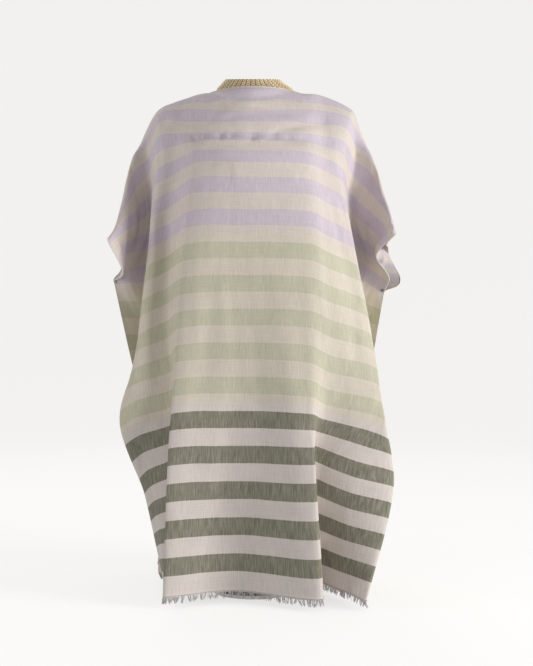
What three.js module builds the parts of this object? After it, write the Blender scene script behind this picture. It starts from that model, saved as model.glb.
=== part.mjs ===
// Striped beach poncho with open armholes and a fringed hem, worn by a limbless dress form on a stand.
// Millimetres, +Z up. The front faces -Y, and the origin is under the middle of the stand's base.

import * as THREE from "three";

// Driving sizes of the cloth
const HALF_WIDTH = 560;
const PANEL_LENGTH = 1090;
const WALL = 1.5;
const SEAM_GAP = 0.3;
const SLIT_HALF = 165;
const SLIT_REACH = 66;
const SLIT_ROUNDNESS = 0.9;
const ARMHOLE_DEPTH = 375;
const TOP_EDGE_DRAW = 50;
const SLOPE_STEP = 2;

// Driving sizes of the fringe and the turned neck edge
const STRANDS = 84;
const STRIP_WIDTH = 4;
const STRAND_LENGTH = 11;
const STRAND_ROOT = 4.4;
const STRAND_TIP = 1.6;
const STRAND_SWAY = 3;
const STRAND_SWAY_TURN = 2.4;
const STRAND_UNEVENNESS = 1.5;
const STRAND_UNEVENNESS_TURN = 1.7;
const FRINGE_MARGIN = 3;
const NECK_HEM_TOP = 1;
const NECK_HEM_WIDTH = 9;
const NECK_HEM_WALL = 1.2;
const NECK_HEM_GAP = 0.8;
const FRINGE_GAP = 0.5;

// Driving sizes of the stand
const BASE_RADIUS = 80;
const BASE_RIM = 7;
const BASE_BEVEL = 6;
const BASE_HEIGHT = 12;
const BASE_SIDES = 40;
const SOCKET_RADIUS = 22;
const SOCKET_HEIGHT = 40;
const POLE_RADIUS = 13;
const POLE_SIDES = 24;
const FLANGE_RADIUS = 42;
const FLANGE_HEIGHT = 9;
const TORSO_SIDES = 32;
const TORSO_CENTRE_Y = 4;

// The shoulder fold, from left to right: place across the flat cloth, then x, y and z in space.
const SHOULDER_FOLD = [
  { across: -560, x: -271, y: 52, z: 712 },
  { across: -465, x: -250, y: 48, z: 800 },
  { across: -380, x: -230, y: 44, z: 884 },
  { across: -325, x: -214, y: 40, z: 936 },
  { across: -280, x: -188, y: 32, z: 976 },
  { across: -220, x: -137, y: 14, z: 1004 },
  { across: -165, x: -90, y: 3, z: 1021 },
  { across: 0, x: 2, y: 2, z: 1022 },
  { across: 165, x: 97, y: 3, z: 1021 },
  { across: 220, x: 146, y: 12, z: 1009 },
  { across: 280, x: 196, y: 30, z: 980 },
  { across: 325, x: 214, y: 40, z: 940 },
  { across: 380, x: 232, y: 44, z: 886 },
  { across: 465, x: 256, y: 48, z: 800 },
  { across: 560, x: 278, y: 52, z: 712 },
];

// The side seams under the armholes, shared by both panels: [length down the cloth, x, y, z].
const LEFT_SEAM = [
  [375, -277, -74, 632], [540, -243, -58, 472], [700, -214, 0, 338], [850, -196, 48, 212],
  [1090, -200, 72, 22],
];
const RIGHT_SEAM = [
  [375, 262, -64, 612], [540, 238, -40, 462], [700, 216, 0, 330], [850, 200, 34, 206], [1090, 190, 48, 22],
];

// Folds of the front, from left to right. Each is a line down the cloth: [length down, x, y, z].
const FRONT_FOLDS = [
  { fold: "left edge", across: -560,
    line: [[50, -275, 4, 717], [120, -279, -64, 712], [235, -277, -168, 706], [312, -252, -130, 647],
      LEFT_SEAM[0]],
    seam: LEFT_SEAM },
  { fold: "left roll", across: -465,
    line: [[50, -254, 2, 806], [120, -261, -68, 796], [235, -252, -108, 736], [375, -246, -92, 634],
      [450, -214, -50, 556], [540, -170, -14, 472], [700, -152, -34, 340], [850, -130, 12, 212],
      [1090, -114, 38, 22]] },
  { fold: "left hollow", across: -380,
    line: [[50, -238, 0, 890], [120, -241, -56, 874], [235, -218, -34, 776], [375, -214, -62, 640],
      [540, -202, -64, 482], [700, -236, -80, 350], [850, -206, -34, 212], [1090, -172, -8, 22]] },
  { fold: "left flank", across: -325,
    line: [[50, -220, -4, 940], [120, -214, -38, 902], [235, -204, -54, 802], [375, -200, -84, 662],
      [540, -216, -104, 504], [700, -261, -110, 358], [850, -216, -74, 208], [1090, -178, -50, 22]] },
  { fold: "left ridge", across: -280,
    line: [[50, -192, -6, 986], [120, -191, -62, 943], [235, -192, -108, 829], [375, -203, -132, 694],
      [540, -221, -138, 533], [700, -230, -126, 380], [850, -200, -94, 228], [1090, -172, -84, 22]] },
  { fold: "left dip", across: -205,
    line: [[50, -134, -24, 1004], [120, -150, -78, 946], [235, -150, -122, 850], [375, -162, -130, 718],
      [540, -172, -128, 560], [700, -153, -132, 404], [850, -152, -128, 254], [1090, -148, -116, 22]] },
  { fold: "left front ridge", across: -160,
    line: [[50, -94, -50, 1003], [120, -112, -112, 938], [235, -112, -160, 865], [375, -123, -178, 737],
      [540, -137, -174, 579], [700, -151, -166, 424], [850, -162, -170, 275], [1090, -171, -168, 22]] },
  { fold: "middle", across: -10,
    line: [[50, -14, -98, 985], [120, -20, -138, 934], [235, -22, -182, 863], [375, -24, -190, 739],
      [540, -27, -178, 584], [700, -29, -162, 429], [850, -31, -146, 278], [1090, -33, -112, 23]] },
  { fold: "right front ridge", across: 140,
    line: [[50, 92, -46, 1004], [120, 98, -112, 937], [235, 100, -162, 863], [375, 106, -184, 736],
      [540, 108, -186, 580], [700, 107, -184, 423], [850, 116, -188, 279], [1090, 130, -190, 22]] },
  { fold: "right dip", across: 195,
    line: [[50, 136, -24, 1006], [120, 137, -82, 938], [235, 136, -135, 855], [375, 142, -166, 722],
      [540, 149, -168, 563], [700, 146, -150, 404], [850, 113, -126, 282], [1090, 128, -96, 34]] },
  { fold: "right ridge", across: 280,
    line: [[50, 199, -6, 987], [120, 186, -62, 932], [235, 177, -105, 833], [375, 195, -125, 698],
      [540, 226, -130, 537], [700, 238, -132, 384], [850, 196, -136, 250], [1090, 176, -142, 28]] },
  { fold: "right flank", across: 325,
    line: [[50, 216, -2, 956], [120, 208, -30, 904], [235, 190, -54, 802], [375, 206, -86, 662],
      [540, 228, -110, 506], [700, 256, -124, 366], [850, 273, -128, 230], [1090, 214, -188, 20]] },
  { fold: "right hollow", across: 380,
    line: [[50, 236, 0, 896], [120, 240, -46, 874], [235, 208, -38, 776], [375, 212, -66, 644],
      [540, 214, -72, 486], [700, 232, -78, 350], [850, 240, -74, 214], [1090, 206, -112, 20]] },
  { fold: "right roll", across: 465,
    line: [[50, 260, 0, 806], [120, 265, -76, 794], [185, 262, -104, 764], [275, 236, -78, 706],
      [375, 232, -66, 634], [450, 206, -34, 556], [540, 170, -8, 472], [700, 154, -38, 338],
      [850, 160, -38, 208], [1090, 170, -36, 22]] },
  { fold: "right edge", across: 560,
    line: [[50, 281, 2, 722], [120, 282, -72, 726], [185, 274, -146, 718], [275, 240, -124, 679],
      [335, 268, -94, 638], RIGHT_SEAM[0]],
    seam: RIGHT_SEAM },
];

// Folds of the back, in the same order.
const BACK_FOLDS = [
  { fold: "left edge", across: -560,
    line: [[80, -282, 118, 715], [160, -286, 150, 700], [250, -280, 96, 664], [325, -284, 0, 640],
      LEFT_SEAM[0]],
    seam: LEFT_SEAM },
  { fold: "left roll", across: -465,
    line: [[80, -260, 104, 770], [190, -256, 116, 700], [375, -240, 22, 628], [540, -202, 24, 474],
      [700, -160, 70, 340], [850, -142, 110, 212], [1090, -146, 140, 22]] },
  { fold: "left hollow", across: -380,
    line: [[80, -226, 66, 838], [190, -208, 58, 760], [375, -198, 86, 630], [540, -182, 96, 480],
      [700, -194, 138, 346], [850, -190, 168, 214], [1090, -192, 196, 22]] },
  { fold: "left back ridge", across: -325,
    line: [[80, -204, 74, 884], [190, -196, 98, 790], [375, -210, 134, 640], [540, -218, 140, 488],
      [700, -224, 178, 350], [850, -216, 206, 218], [1090, -212, 234, 24]] },
  { fold: "left shoulder", across: -280,
    line: [[80, -180, 88, 926], [190, -182, 128, 822], [375, -194, 162, 662], [540, -204, 178, 506],
      [700, -200, 210, 360], [850, -192, 234, 224], [1090, -184, 254, 24]] },
  { fold: "left back dip", across: -150,
    line: [[50, -88, 54, 1000], [120, -96, 94, 944], [235, -100, 106, 838], [375, -106, 102, 708],
      [540, -110, 98, 548], [700, -112, 118, 392], [850, -114, 136, 248], [1090, -112, 150, 26]] },
  { fold: "middle back ridge", across: -20,
    line: [[50, -14, 92, 986], [120, -14, 130, 926], [235, -20, 162, 820], [375, -24, 178, 690],
      [540, -28, 192, 534], [700, -34, 220, 382], [850, -40, 238, 242], [1090, -48, 252, 22]] },
  { fold: "right back dip", across: 100,
    line: [[50, 64, 72, 994], [120, 66, 106, 936], [235, 62, 114, 828], [375, 56, 114, 698],
      [540, 52, 120, 540], [700, 44, 126, 386], [850, 40, 144, 244], [1090, 30, 158, 25]] },
  { fold: "right back ridge", across: 205,
    line: [[50, 134, 34, 1002], [120, 132, 88, 946], [235, 130, 146, 840], [375, 126, 174, 706],
      [540, 122, 190, 548], [700, 112, 198, 394], [850, 108, 222, 250], [1090, 100, 238, 23]] },
  { fold: "right shoulder", across: 280,
    line: [[80, 182, 84, 930], [190, 174, 108, 828], [375, 166, 120, 666], [540, 166, 130, 510],
      [700, 166, 146, 362], [850, 162, 164, 226], [1090, 156, 178, 25]] },
  { fold: "right side ridge", across: 325,
    line: [[80, 208, 72, 886], [190, 202, 96, 792], [375, 202, 132, 642], [540, 206, 146, 490],
      [700, 204, 168, 350], [850, 200, 188, 218], [1090, 196, 208, 24]] },
  { fold: "right hollow", across: 380,
    line: [[80, 230, 64, 840], [190, 212, 56, 762], [375, 204, 86, 630], [540, 198, 96, 482],
      [700, 214, 116, 344], [850, 214, 136, 212], [1090, 216, 160, 22]] },
  { fold: "right roll", across: 465,
    line: [[80, 266, 104, 772], [190, 264, 116, 704], [375, 234, 26, 620], [540, 196, 28, 470],
      [700, 162, 60, 336], [850, 148, 90, 208], [1090, 150, 106, 22]] },
  { fold: "right edge", across: 560,
    line: [[80, 290, 118, 714], [160, 296, 146, 694], [240, 304, 96, 664], [300, 304, 22, 642],
      [340, 294, -22, 624], RIGHT_SEAM[0]],
    seam: RIGHT_SEAM },
];

// Soft folds that the cloth's weight drags across the chest: middle across and down, half sizes, depth.
const DRAG_FOLDS = [
  { across: 20, down: 30, halfWidth: 90, halfLength: 12, depth: 5, slope: 0.10 },
  { across: 30, down: 94, halfWidth: 95, halfLength: 17, depth: 6, slope: 0.05 },
  { across: -60, down: 158, halfWidth: 150, halfLength: 20, depth: 8, slope: 0.02 },
  { across: 150, down: 176, halfWidth: 80, halfLength: 20, depth: 6, slope: -0.10 },
];

// The dress form from the bottom up: height of each section and its reach to each side.
const TORSO_SECTIONS = [
  { z: 400, left: 118, right: 118, front: 84, back: 84 },
  { z: 404, left: 126, right: 126, front: 90, back: 90 },
  { z: 440, left: 142, right: 142, front: 98, back: 100 },
  { z: 500, left: 150, right: 150, front: 100, back: 104 },
  { z: 560, left: 142, right: 142, front: 94, back: 98 },
  { z: 640, left: 120, right: 120, front: 82, back: 84 },
  { z: 700, left: 122, right: 122, front: 88, back: 84 },
  { z: 770, left: 136, right: 136, front: 106, back: 90 },
  { z: 830, left: 144, right: 146, front: 108, back: 94 },
  { z: 880, left: 152, right: 154, front: 92, back: 92 },
  { z: 925, left: 172, right: 176, front: 70, back: 76 },
  { z: 951, left: 182, right: 188, front: 56, back: 62 },
  { z: 970, left: 184, right: 191, front: 47, back: 50 },
  { z: 981.5, left: 176, right: 184, front: 43, back: 45 },
  { z: 991.5, left: 158, right: 166, front: 43, back: 44 },
  { z: 1000.5, left: 134, right: 144, front: 45, back: 46 },
  { z: 1009, left: 108, right: 118, front: 48, back: 48 },
  { z: 1015, left: 85, right: 93, front: 40, back: 30 },
  { z: 1023, left: 77, right: 86, front: 38, back: 31 },
  { z: 1031, left: 74, right: 81, front: 41, back: 36 },
  { z: 1040, left: 66, right: 67, front: 43, back: 40 },
  { z: 1050, left: 57, right: 56, front: 43, back: 42 },
];
const NECK_TILT = 0.2;
const NECK_TILT_FROM = 1013;

// Colours
const CLOTH_COLOUR = 0xd9d3c7;
const FRINGE_COLOUR = 0xcfcac2;
const HEM_COLOUR = 0xe9e1d3;
const STRAW_COLOUR = 0xb79a5b;
const METAL_COLOUR = 0x8f8f8c;

// Value and slope tables of a smooth curve through rows, with the slope at each row from its neighbours.
function curveThrough(keys, points) {
  const slopes = points.map((point, i) => {
    const before = Math.max(i - 1, 0);
    const after = Math.min(i + 1, points.length - 1);
    const span = keys[after] - keys[before];
    return point.map((_, axis) => (points[after][axis] - points[before][axis]) / span);
  });
  return (key) => {
    let i = 0;
    while (i < keys.length - 2 && key > keys[i + 1]) i += 1;
    const span = keys[i + 1] - keys[i];
    const u = (key - keys[i]) / span;
    const ease = u * u * (3 - 2 * u);
    const leave = u * (1 - u) * (1 - u) * span;
    const arrive = u * u * (u - 1) * span;
    return points[i].map((value, axis) => value + (points[i + 1][axis] - value) * ease
      + slopes[i][axis] * leave + slopes[i + 1][axis] * arrive);
  };
}

const shoulderCurve = curveThrough(
  SHOULDER_FOLD.map((row) => row.across),
  SHOULDER_FOLD.map((row) => [row.x, row.y, row.z]),
);

// Point of the top edge. Inside the neck slit the front edge swings forward and the back edge back.
function topEdge(across, side) {
  const [x, y, z] = shoulderCurve(across);
  const turn = Math.min(Math.abs(across) / SLIT_HALF, 1);
  const reach = SLIT_REACH * Math.cos(turn * Math.PI / 2) ** SLIT_ROUNDNESS;
  return [x, y + side * reach, z];
}

// Depth of the drag folds at a place on the front, as one smooth trough for each row of the table.
function dragDepth(across, down) {
  let depth = 0;
  for (const row of DRAG_FOLDS) {
    const alongFold = (across - row.across) / row.halfWidth;
    const acrossFold = (down - row.down - (across - row.across) * row.slope) / row.halfLength;
    depth += row.depth * Math.exp(-alongFold * alongFold - acrossFold * acrossFold);
  }
  return depth;
}

// Curve down the cloth through the points of one line. A line with a seam follows the seam below the armhole.
function downCurve(points, seam) {
  const curve = curveThrough(points.map((point) => point[0]), points.map((point) => point.slice(1)));
  if (!seam) return curve;
  const seamCurve = downCurve(seam);
  return (down) => (down < ARMHOLE_DEPTH ? curve(down) : seamCurve(down));
}

// Outer face of a panel: a curve runs down each fold line, and one runs across all of them.
// Near the top the face is drawn onto the true top edge, which the folds' curve passes close by.
function panelSurface(folds, side) {
  const places = folds.map((row) => row.across);
  const columns = folds.map((row) => downCurve([[0, ...topEdge(row.across, side)], ...row.line], row.seam));
  const topCurve = curveThrough(places, places.map((across) => topEdge(across, side)));
  return (across, down) => {
    const point = curveThrough(places, columns.map((column) => column(down)))(across);
    const topShare = Math.max(0, 1 - down / TOP_EDGE_DRAW) ** 2;
    const edge = topEdge(across, side);
    const passed = topCurve(across);
    if (side < 0) point[1] += dragDepth(across, down) * (1 - topShare);
    return point.map((value, axis) => value + (edge[axis] - passed[axis]) * topShare);
  };
}

// Stations across and down the cloth, closer together where folds are tight.
function stations(stops) {
  const list = [];
  stops.slice(0, -1).forEach(({ at, parts }, i) => {
    for (let k = 0; k < parts; k += 1) list.push(at + (stops[i + 1].at - at) * k / parts);
  });
  list.push(stops[stops.length - 1].at);
  return list;
}

const ACROSS = stations([
  { at: -560, parts: 4 }, { at: -465, parts: 4 }, { at: -380, parts: 3 }, { at: -325, parts: 3 },
  { at: -280, parts: 3 }, { at: -220, parts: 3 }, { at: -165, parts: 14 }, { at: 165, parts: 3 },
  { at: 220, parts: 3 }, { at: 280, parts: 3 }, { at: 325, parts: 3 }, { at: 380, parts: 4 },
  { at: 465, parts: 4 }, { at: 560 },
]);
const DOWN = stations([
  { at: 0, parts: 3 }, { at: 50, parts: 4 }, { at: 120, parts: 3 }, { at: 185, parts: 3 },
  { at: 275, parts: 2 }, { at: ARMHOLE_DEPTH, parts: 4 }, { at: 700, parts: 3 }, { at: PANEL_LENGTH },
]);

// Direction pointing out of the cloth, from the surface's own slopes.
function outward(surface, across, down, side) {
  const at = (s, t) => new THREE.Vector3(...surface(
    THREE.MathUtils.clamp(s, -HALF_WIDTH, HALF_WIDTH),
    THREE.MathUtils.clamp(t, 0, PANEL_LENGTH),
  ));
  const along = at(across + SLOPE_STEP, down).sub(at(across - SLOPE_STEP, down));
  const fall = at(across, down + SLOPE_STEP).sub(at(across, down - SLOPE_STEP));
  return fall.cross(along).multiplyScalar(-side).normalize();
}

const frontSurface = panelSurface(FRONT_FOLDS, -1);
const backSurface = panelSurface(BACK_FOLDS, 1);

// True along the shoulder fold and the side seams, where the panels meet.
function isShared(across, down) {
  const onShoulder = down === 0 && Math.abs(across) >= SLIT_HALF;
  const onSeam = Math.abs(across) === HALF_WIDTH && down >= ARMHOLE_DEPTH;
  return onShoulder || onSeam;
}

// Outer point and inner point of the wall. Where the panels meet they share one direction across the wall,
// and each stands back from the line by half the seam gap.
function wallPoints(surface, across, down, side) {
  const outer = new THREE.Vector3(...surface(across, down));
  const normal = outward(surface, across, down, side);
  if (isShared(across, down)) {
    const other = side < 0 ? backSurface : frontSurface;
    normal.add(outward(other, across, down, -side)).normalize();
    const onSeam = down > 0;
    const before = onSeam
      ? surface(across, down - SLOPE_STEP)
      : surface(Math.max(across - SLOPE_STEP, -HALF_WIDTH), down);
    const after = onSeam
      ? surface(across, Math.min(down + SLOPE_STEP, PANEL_LENGTH))
      : surface(Math.min(across + SLOPE_STEP, HALF_WIDTH), down);
    const tangent = new THREE.Vector3(...after).sub(new THREE.Vector3(...before));
    const turn = onSeam ? -Math.sign(across) * side : -side;
    const apart = tangent.cross(normal).normalize().multiplyScalar(turn * SEAM_GAP / 2);
    outer.add(apart);
  }
  return { outer, inner: outer.clone().addScaledVector(normal, -WALL), normal };
}

// Collects triangles of one closed body from named corner points.
class Body {
  constructor() {
    this.positions = [];
  }

  triangle(a, b, c) {
    for (const corner of [a, b, c]) this.positions.push(corner.x, corner.y, corner.z);
  }

  quad(a, b, c, d) {
    this.triangle(a, b, c);
    this.triangle(a, c, d);
  }

  geometry() {
    const geometry = new THREE.BufferGeometry();
    geometry.setAttribute("position", new THREE.Float32BufferAttribute(this.positions, 3));
    geometry.computeVertexNormals();
    return geometry;
  }
}

// Closed wall between an outer and an inner grid of points. The grids run across, then down.
function wallBody(outer, inner, side) {
  const body = new Body();
  const face = (a, b, c, d) => (side < 0 ? body.quad(a, b, c, d) : body.quad(a, d, c, b));
  const last = outer.length - 1;
  const bottom = outer[0].length - 1;
  for (let i = 0; i < last; i += 1) {
    for (let j = 0; j < bottom; j += 1) {
      face(outer[i][j], outer[i][j + 1], outer[i + 1][j + 1], outer[i + 1][j]);
      face(inner[i][j], inner[i + 1][j], inner[i + 1][j + 1], inner[i][j + 1]);
    }
    face(outer[i][0], outer[i + 1][0], inner[i + 1][0], inner[i][0]);
    face(outer[i + 1][bottom], outer[i][bottom], inner[i][bottom], inner[i + 1][bottom]);
  }
  for (let j = 0; j < bottom; j += 1) {
    face(outer[0][j + 1], outer[0][j], inner[0][j], inner[0][j + 1]);
    face(outer[last][j], outer[last][j + 1], inner[last][j + 1], inner[last][j]);
  }
  return body.geometry();
}

// Walls of a panel at every station, as columns that run down the cloth.
function panelWalls(surface, side) {
  return ACROSS.map((across) => DOWN.map((down) => wallPoints(surface, across, down, side)));
}

function panel(walls, side) {
  const outer = walls.map((column) => column.map((wall) => wall.outer));
  const inner = walls.map((column) => column.map((wall) => wall.inner));
  return wallBody(outer, inner, side);
}

// The turned edge of the neck lies on the panel's inner face, a seam gap away from it.
function neckHem(walls, side) {
  const columns = walls.filter((_, i) => Math.abs(ACROSS[i]) < SLIT_HALF);
  const depths = [NECK_HEM_TOP, NECK_HEM_WIDTH / 2, NECK_HEM_WIDTH];
  const lay = (depth) => columns.map(([top, next]) => depths.map((down) => {
    const share = down / DOWN[1];
    const normal = top.normal.clone().lerp(next.normal, share).normalize();
    return top.inner.clone().lerp(next.inner, share).addScaledVector(normal, -depth);
  }));
  return wallBody(lay(NECK_HEM_GAP), lay(NECK_HEM_GAP + NECK_HEM_WALL), side);
}

// A narrow strip under the hem whose lower edge carries tapered strands.
function fringe(walls, side) {
  const body = new Body();
  const face = (a, b, c, d) => (side < 0 ? body.quad(a, b, c, d) : body.quad(a, d, c, b));
  const pitch = (2 * HALF_WIDTH - 2 * FRINGE_MARGIN) / STRANDS;
  const top = -FRINGE_GAP;
  const bottom = top - STRIP_WIDTH;
  const post = (across) => {
    const next = ACROSS.findIndex((station) => station > across);
    const share = (across - ACROSS[next - 1]) / (ACROSS[next] - ACROSS[next - 1]);
    const [left, right] = [walls[next - 1], walls[next]].map((column) => column[column.length - 1]);
    const outer = left.outer.clone().lerp(right.outer, share);
    const inner = left.inner.clone().lerp(right.inner, share);
    const moved = (point, rise) => point.clone().setZ(point.z + rise);
    return {
      topOut: moved(outer, top),
      topIn: moved(inner, top),
      lowOut: moved(outer, bottom),
      lowIn: moved(inner, bottom),
    };
  };
  const starts = Array.from({ length: STRANDS }, (_, k) => -HALF_WIDTH + FRINGE_MARGIN + pitch * k);
  const posts = starts.flatMap((start) => [post(start), post(start + STRAND_ROOT)]);
  posts.forEach((a, i) => {
    if (i === posts.length - 1) return;
    const b = posts[i + 1];
    face(a.topOut, a.lowOut, b.lowOut, b.topOut);
    face(a.topIn, b.topIn, b.lowIn, a.lowIn);
    face(a.topOut, b.topOut, b.topIn, a.topIn);
    if (i % 2 === 1) face(b.lowOut, a.lowOut, a.lowIn, b.lowIn);
  });
  const [first, end] = [posts[0], posts[posts.length - 1]];
  face(first.lowOut, first.topOut, first.topIn, first.lowIn);
  face(end.topOut, end.lowOut, end.lowIn, end.topIn);
  for (let k = 0; k < STRANDS; k += 1) {
    const [a, b] = [posts[2 * k], posts[2 * k + 1]];
    const along = b.lowOut.clone().sub(a.lowOut).setZ(0).normalize();
    const sway = STRAND_SWAY * Math.sin(k * STRAND_SWAY_TURN);
    const fall = STRAND_LENGTH - STRAND_UNEVENNESS * (1 - Math.cos(k * STRAND_UNEVENNESS_TURN));
    const tip = (root, mate, inset) => root.clone()
      .lerp(mate, inset)
      .addScaledVector(along, sway)
      .setZ(root.z - fall);
    const inset = (1 - STRAND_TIP / STRAND_ROOT) / 2;
    const [aOut, bOut] = [tip(a.lowOut, b.lowOut, inset), tip(b.lowOut, a.lowOut, inset)];
    const [aIn, bIn] = [tip(a.lowIn, b.lowIn, inset), tip(b.lowIn, a.lowIn, inset)];
    face(a.lowOut, aOut, bOut, b.lowOut);
    face(a.lowIn, b.lowIn, bIn, aIn);
    face(aOut, a.lowOut, a.lowIn, aIn);
    face(b.lowOut, bOut, bIn, b.lowIn);
    face(bOut, aOut, aIn, bIn);
  }
  return body.geometry();
}

// The dress form: oval sections from the hip to the neck, closed flat at both ends.
function torso() {
  const body = new Body();
  const top = TORSO_SECTIONS[TORSO_SECTIONS.length - 1].z;
  const rings = TORSO_SECTIONS.map((section) => {
    const neckShare = (section.z - NECK_TILT_FROM) / (top - NECK_TILT_FROM);
    const tilt = NECK_TILT * THREE.MathUtils.clamp(neckShare, 0, 1);
    return Array.from({ length: TORSO_SIDES }, (_, k) => {
      const angle = 2 * Math.PI * k / TORSO_SIDES;
      const x = Math.cos(angle) * (Math.cos(angle) < 0 ? section.left : section.right);
      const y = Math.sin(angle) * (Math.sin(angle) < 0 ? section.front : section.back);
      return new THREE.Vector3(x, TORSO_CENTRE_Y + y, section.z + tilt * y);
    });
  });
  rings.slice(0, -1).forEach((ring, i) => ring.forEach((point, k) => {
    const next = (k + 1) % TORSO_SIDES;
    body.quad(point, ring[next], rings[i + 1][next], rings[i + 1][k]);
  }));
  const close = (ring, z, facesUp) => {
    const centre = new THREE.Vector3(0, TORSO_CENTRE_Y, z);
    ring.forEach((point, k) => {
      const next = ring[(k + 1) % TORSO_SIDES];
      if (facesUp) body.triangle(centre, point, next);
      else body.triangle(centre, next, point);
    });
  };
  close(rings[0], TORSO_SECTIONS[0].z, false);
  close(rings[rings.length - 1], top, true);
  return body.geometry();
}

// A body turned about the upright axis, from its half outline.
function turned(outline, sides) {
  const points = outline.map(([radius, height]) => new THREE.Vector2(radius, height));
  const geometry = new THREE.LatheGeometry(points, sides);
  geometry.rotateX(Math.PI / 2);
  return geometry;
}

function base() {
  const bore = POLE_RADIUS + SEAM_GAP;
  return turned([
    [0, 0], [BASE_RADIUS, 0], [BASE_RADIUS, BASE_RIM], [BASE_RADIUS - BASE_BEVEL, BASE_HEIGHT],
    [SOCKET_RADIUS, BASE_HEIGHT], [SOCKET_RADIUS, SOCKET_HEIGHT], [bore, SOCKET_HEIGHT], [bore, BASE_HEIGHT],
    [0, BASE_HEIGHT],
  ], BASE_SIDES);
}

function pole() {
  const foot = BASE_HEIGHT + SEAM_GAP;
  const head = TORSO_SECTIONS[0].z - SEAM_GAP;
  const flange = head - FLANGE_HEIGHT;
  return turned([
    [0, foot], [POLE_RADIUS, foot], [POLE_RADIUS, flange],
    [FLANGE_RADIUS, flange], [FLANGE_RADIUS, head], [0, head],
  ], POLE_SIDES);
}

const cloth = (color) => new THREE.MeshStandardMaterial({ color, roughness: 0.95, metalness: 0 });
const straw = () => new THREE.MeshStandardMaterial({ color: STRAW_COLOUR, roughness: 0.85, metalness: 0 });
const metal = () => new THREE.MeshStandardMaterial({ color: METAL_COLOUR, roughness: 0.4, metalness: 0.9 });

const poncho = new THREE.Group();

function addPiece(name, geometry, material) {
  const mesh = new THREE.Mesh(geometry, material);
  mesh.name = name;
  poncho.add(mesh);
}

for (const [name, surface, side] of [["front", frontSurface, -1], ["back", backSurface, 1]]) {
  const walls = panelWalls(surface, side);
  addPiece(`${name}_panel`, panel(walls, side), cloth(CLOTH_COLOUR));
  addPiece(`neck_hem_${name}`, neckHem(walls, side), cloth(HEM_COLOUR));
  addPiece(`${name}_fringe`, fringe(walls, side), cloth(FRINGE_COLOUR));
}
addPiece("form_torso", torso(), straw());
addPiece("form_pole", pole(), metal());
addPiece("form_base", base(), metal());

export default poncho;
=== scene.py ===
"""Beach poncho on a dress form: woven cloth, trims, straw cover, stand and studio around the solids."""
import math

import bpy
import numpy as np
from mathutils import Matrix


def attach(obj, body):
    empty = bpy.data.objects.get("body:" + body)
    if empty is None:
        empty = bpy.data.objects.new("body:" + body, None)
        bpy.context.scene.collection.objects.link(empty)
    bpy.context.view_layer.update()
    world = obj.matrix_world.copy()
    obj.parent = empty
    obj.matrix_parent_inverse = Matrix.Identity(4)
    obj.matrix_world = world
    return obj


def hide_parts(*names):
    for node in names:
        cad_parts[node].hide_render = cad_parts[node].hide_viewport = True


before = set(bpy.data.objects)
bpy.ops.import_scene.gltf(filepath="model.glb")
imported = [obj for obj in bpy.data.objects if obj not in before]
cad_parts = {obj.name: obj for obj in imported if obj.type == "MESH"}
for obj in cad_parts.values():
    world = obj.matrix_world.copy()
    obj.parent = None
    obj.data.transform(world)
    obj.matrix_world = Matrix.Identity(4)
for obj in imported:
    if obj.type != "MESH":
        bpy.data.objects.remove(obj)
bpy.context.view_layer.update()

bl_info = {
    "name": "Beach poncho on dress form",
    "version": (1, 0, 0),
    "blender": (4, 5, 0),
    "location": "3D View > Sidebar > Poncho",
    "description": "Builds a striped beach poncho hanging on a dress form",
    "category": "Object",
}

MM = 0.001
FRONT = -1
BACK = 1
BODY = "root"

# Sizes of the cut and its neck slit in millimetres, the same as those of the solids
HALF_WIDTH = 560
PANEL_LENGTH = 1090
SLIT_HALF = 165
SLIT_REACH = 66
SLIT_ROUNDNESS = 0.9
ARMHOLE_DEPTH = 375

# Length over which the cloth is drawn to its top edge, and the step over which its slope is measured
TOP_EDGE_DRAW = 50
SLOPE_STEP = 2

# How far the stripes are pulled forward over each shoulder, where across the cloth, and where it fades
SHOULDER_PULL = 20
SHOULDER_PULL_REACH = (70, 165, 250, 340)
SHOULDER_PULL_FADE = (68, 84)

# The shoulder fold from left to right: place across the flat cloth, then x, y and z
SHOULDER_FOLD = [
    (-560, -271, 52, 712), (-465, -250, 48, 800), (-380, -230, 44, 884), (-325, -214, 40, 936),
    (-280, -188, 32, 976), (-220, -137, 14, 1004), (-165, -90, 3, 1021), (0, 2, 2, 1022),
    (165, 97, 3, 1021), (220, 146, 12, 1009), (280, 196, 30, 980), (325, 214, 40, 940),
    (380, 232, 44, 886), (465, 256, 48, 800), (560, 278, 52, 712),
]

# The side seams under the armholes: length down the cloth, then x, y and z
LEFT_SEAM = [(375, -277, -74, 632), (540, -243, -58, 472), (700, -214, 0, 338), (850, -196, 48, 212),
             (1090, -200, 72, 22)]
RIGHT_SEAM = [(375, 262, -64, 612), (540, 238, -40, 462), (700, 216, 0, 330), (850, 200, 34, 206),
              (1090, 190, 48, 22)]

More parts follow.
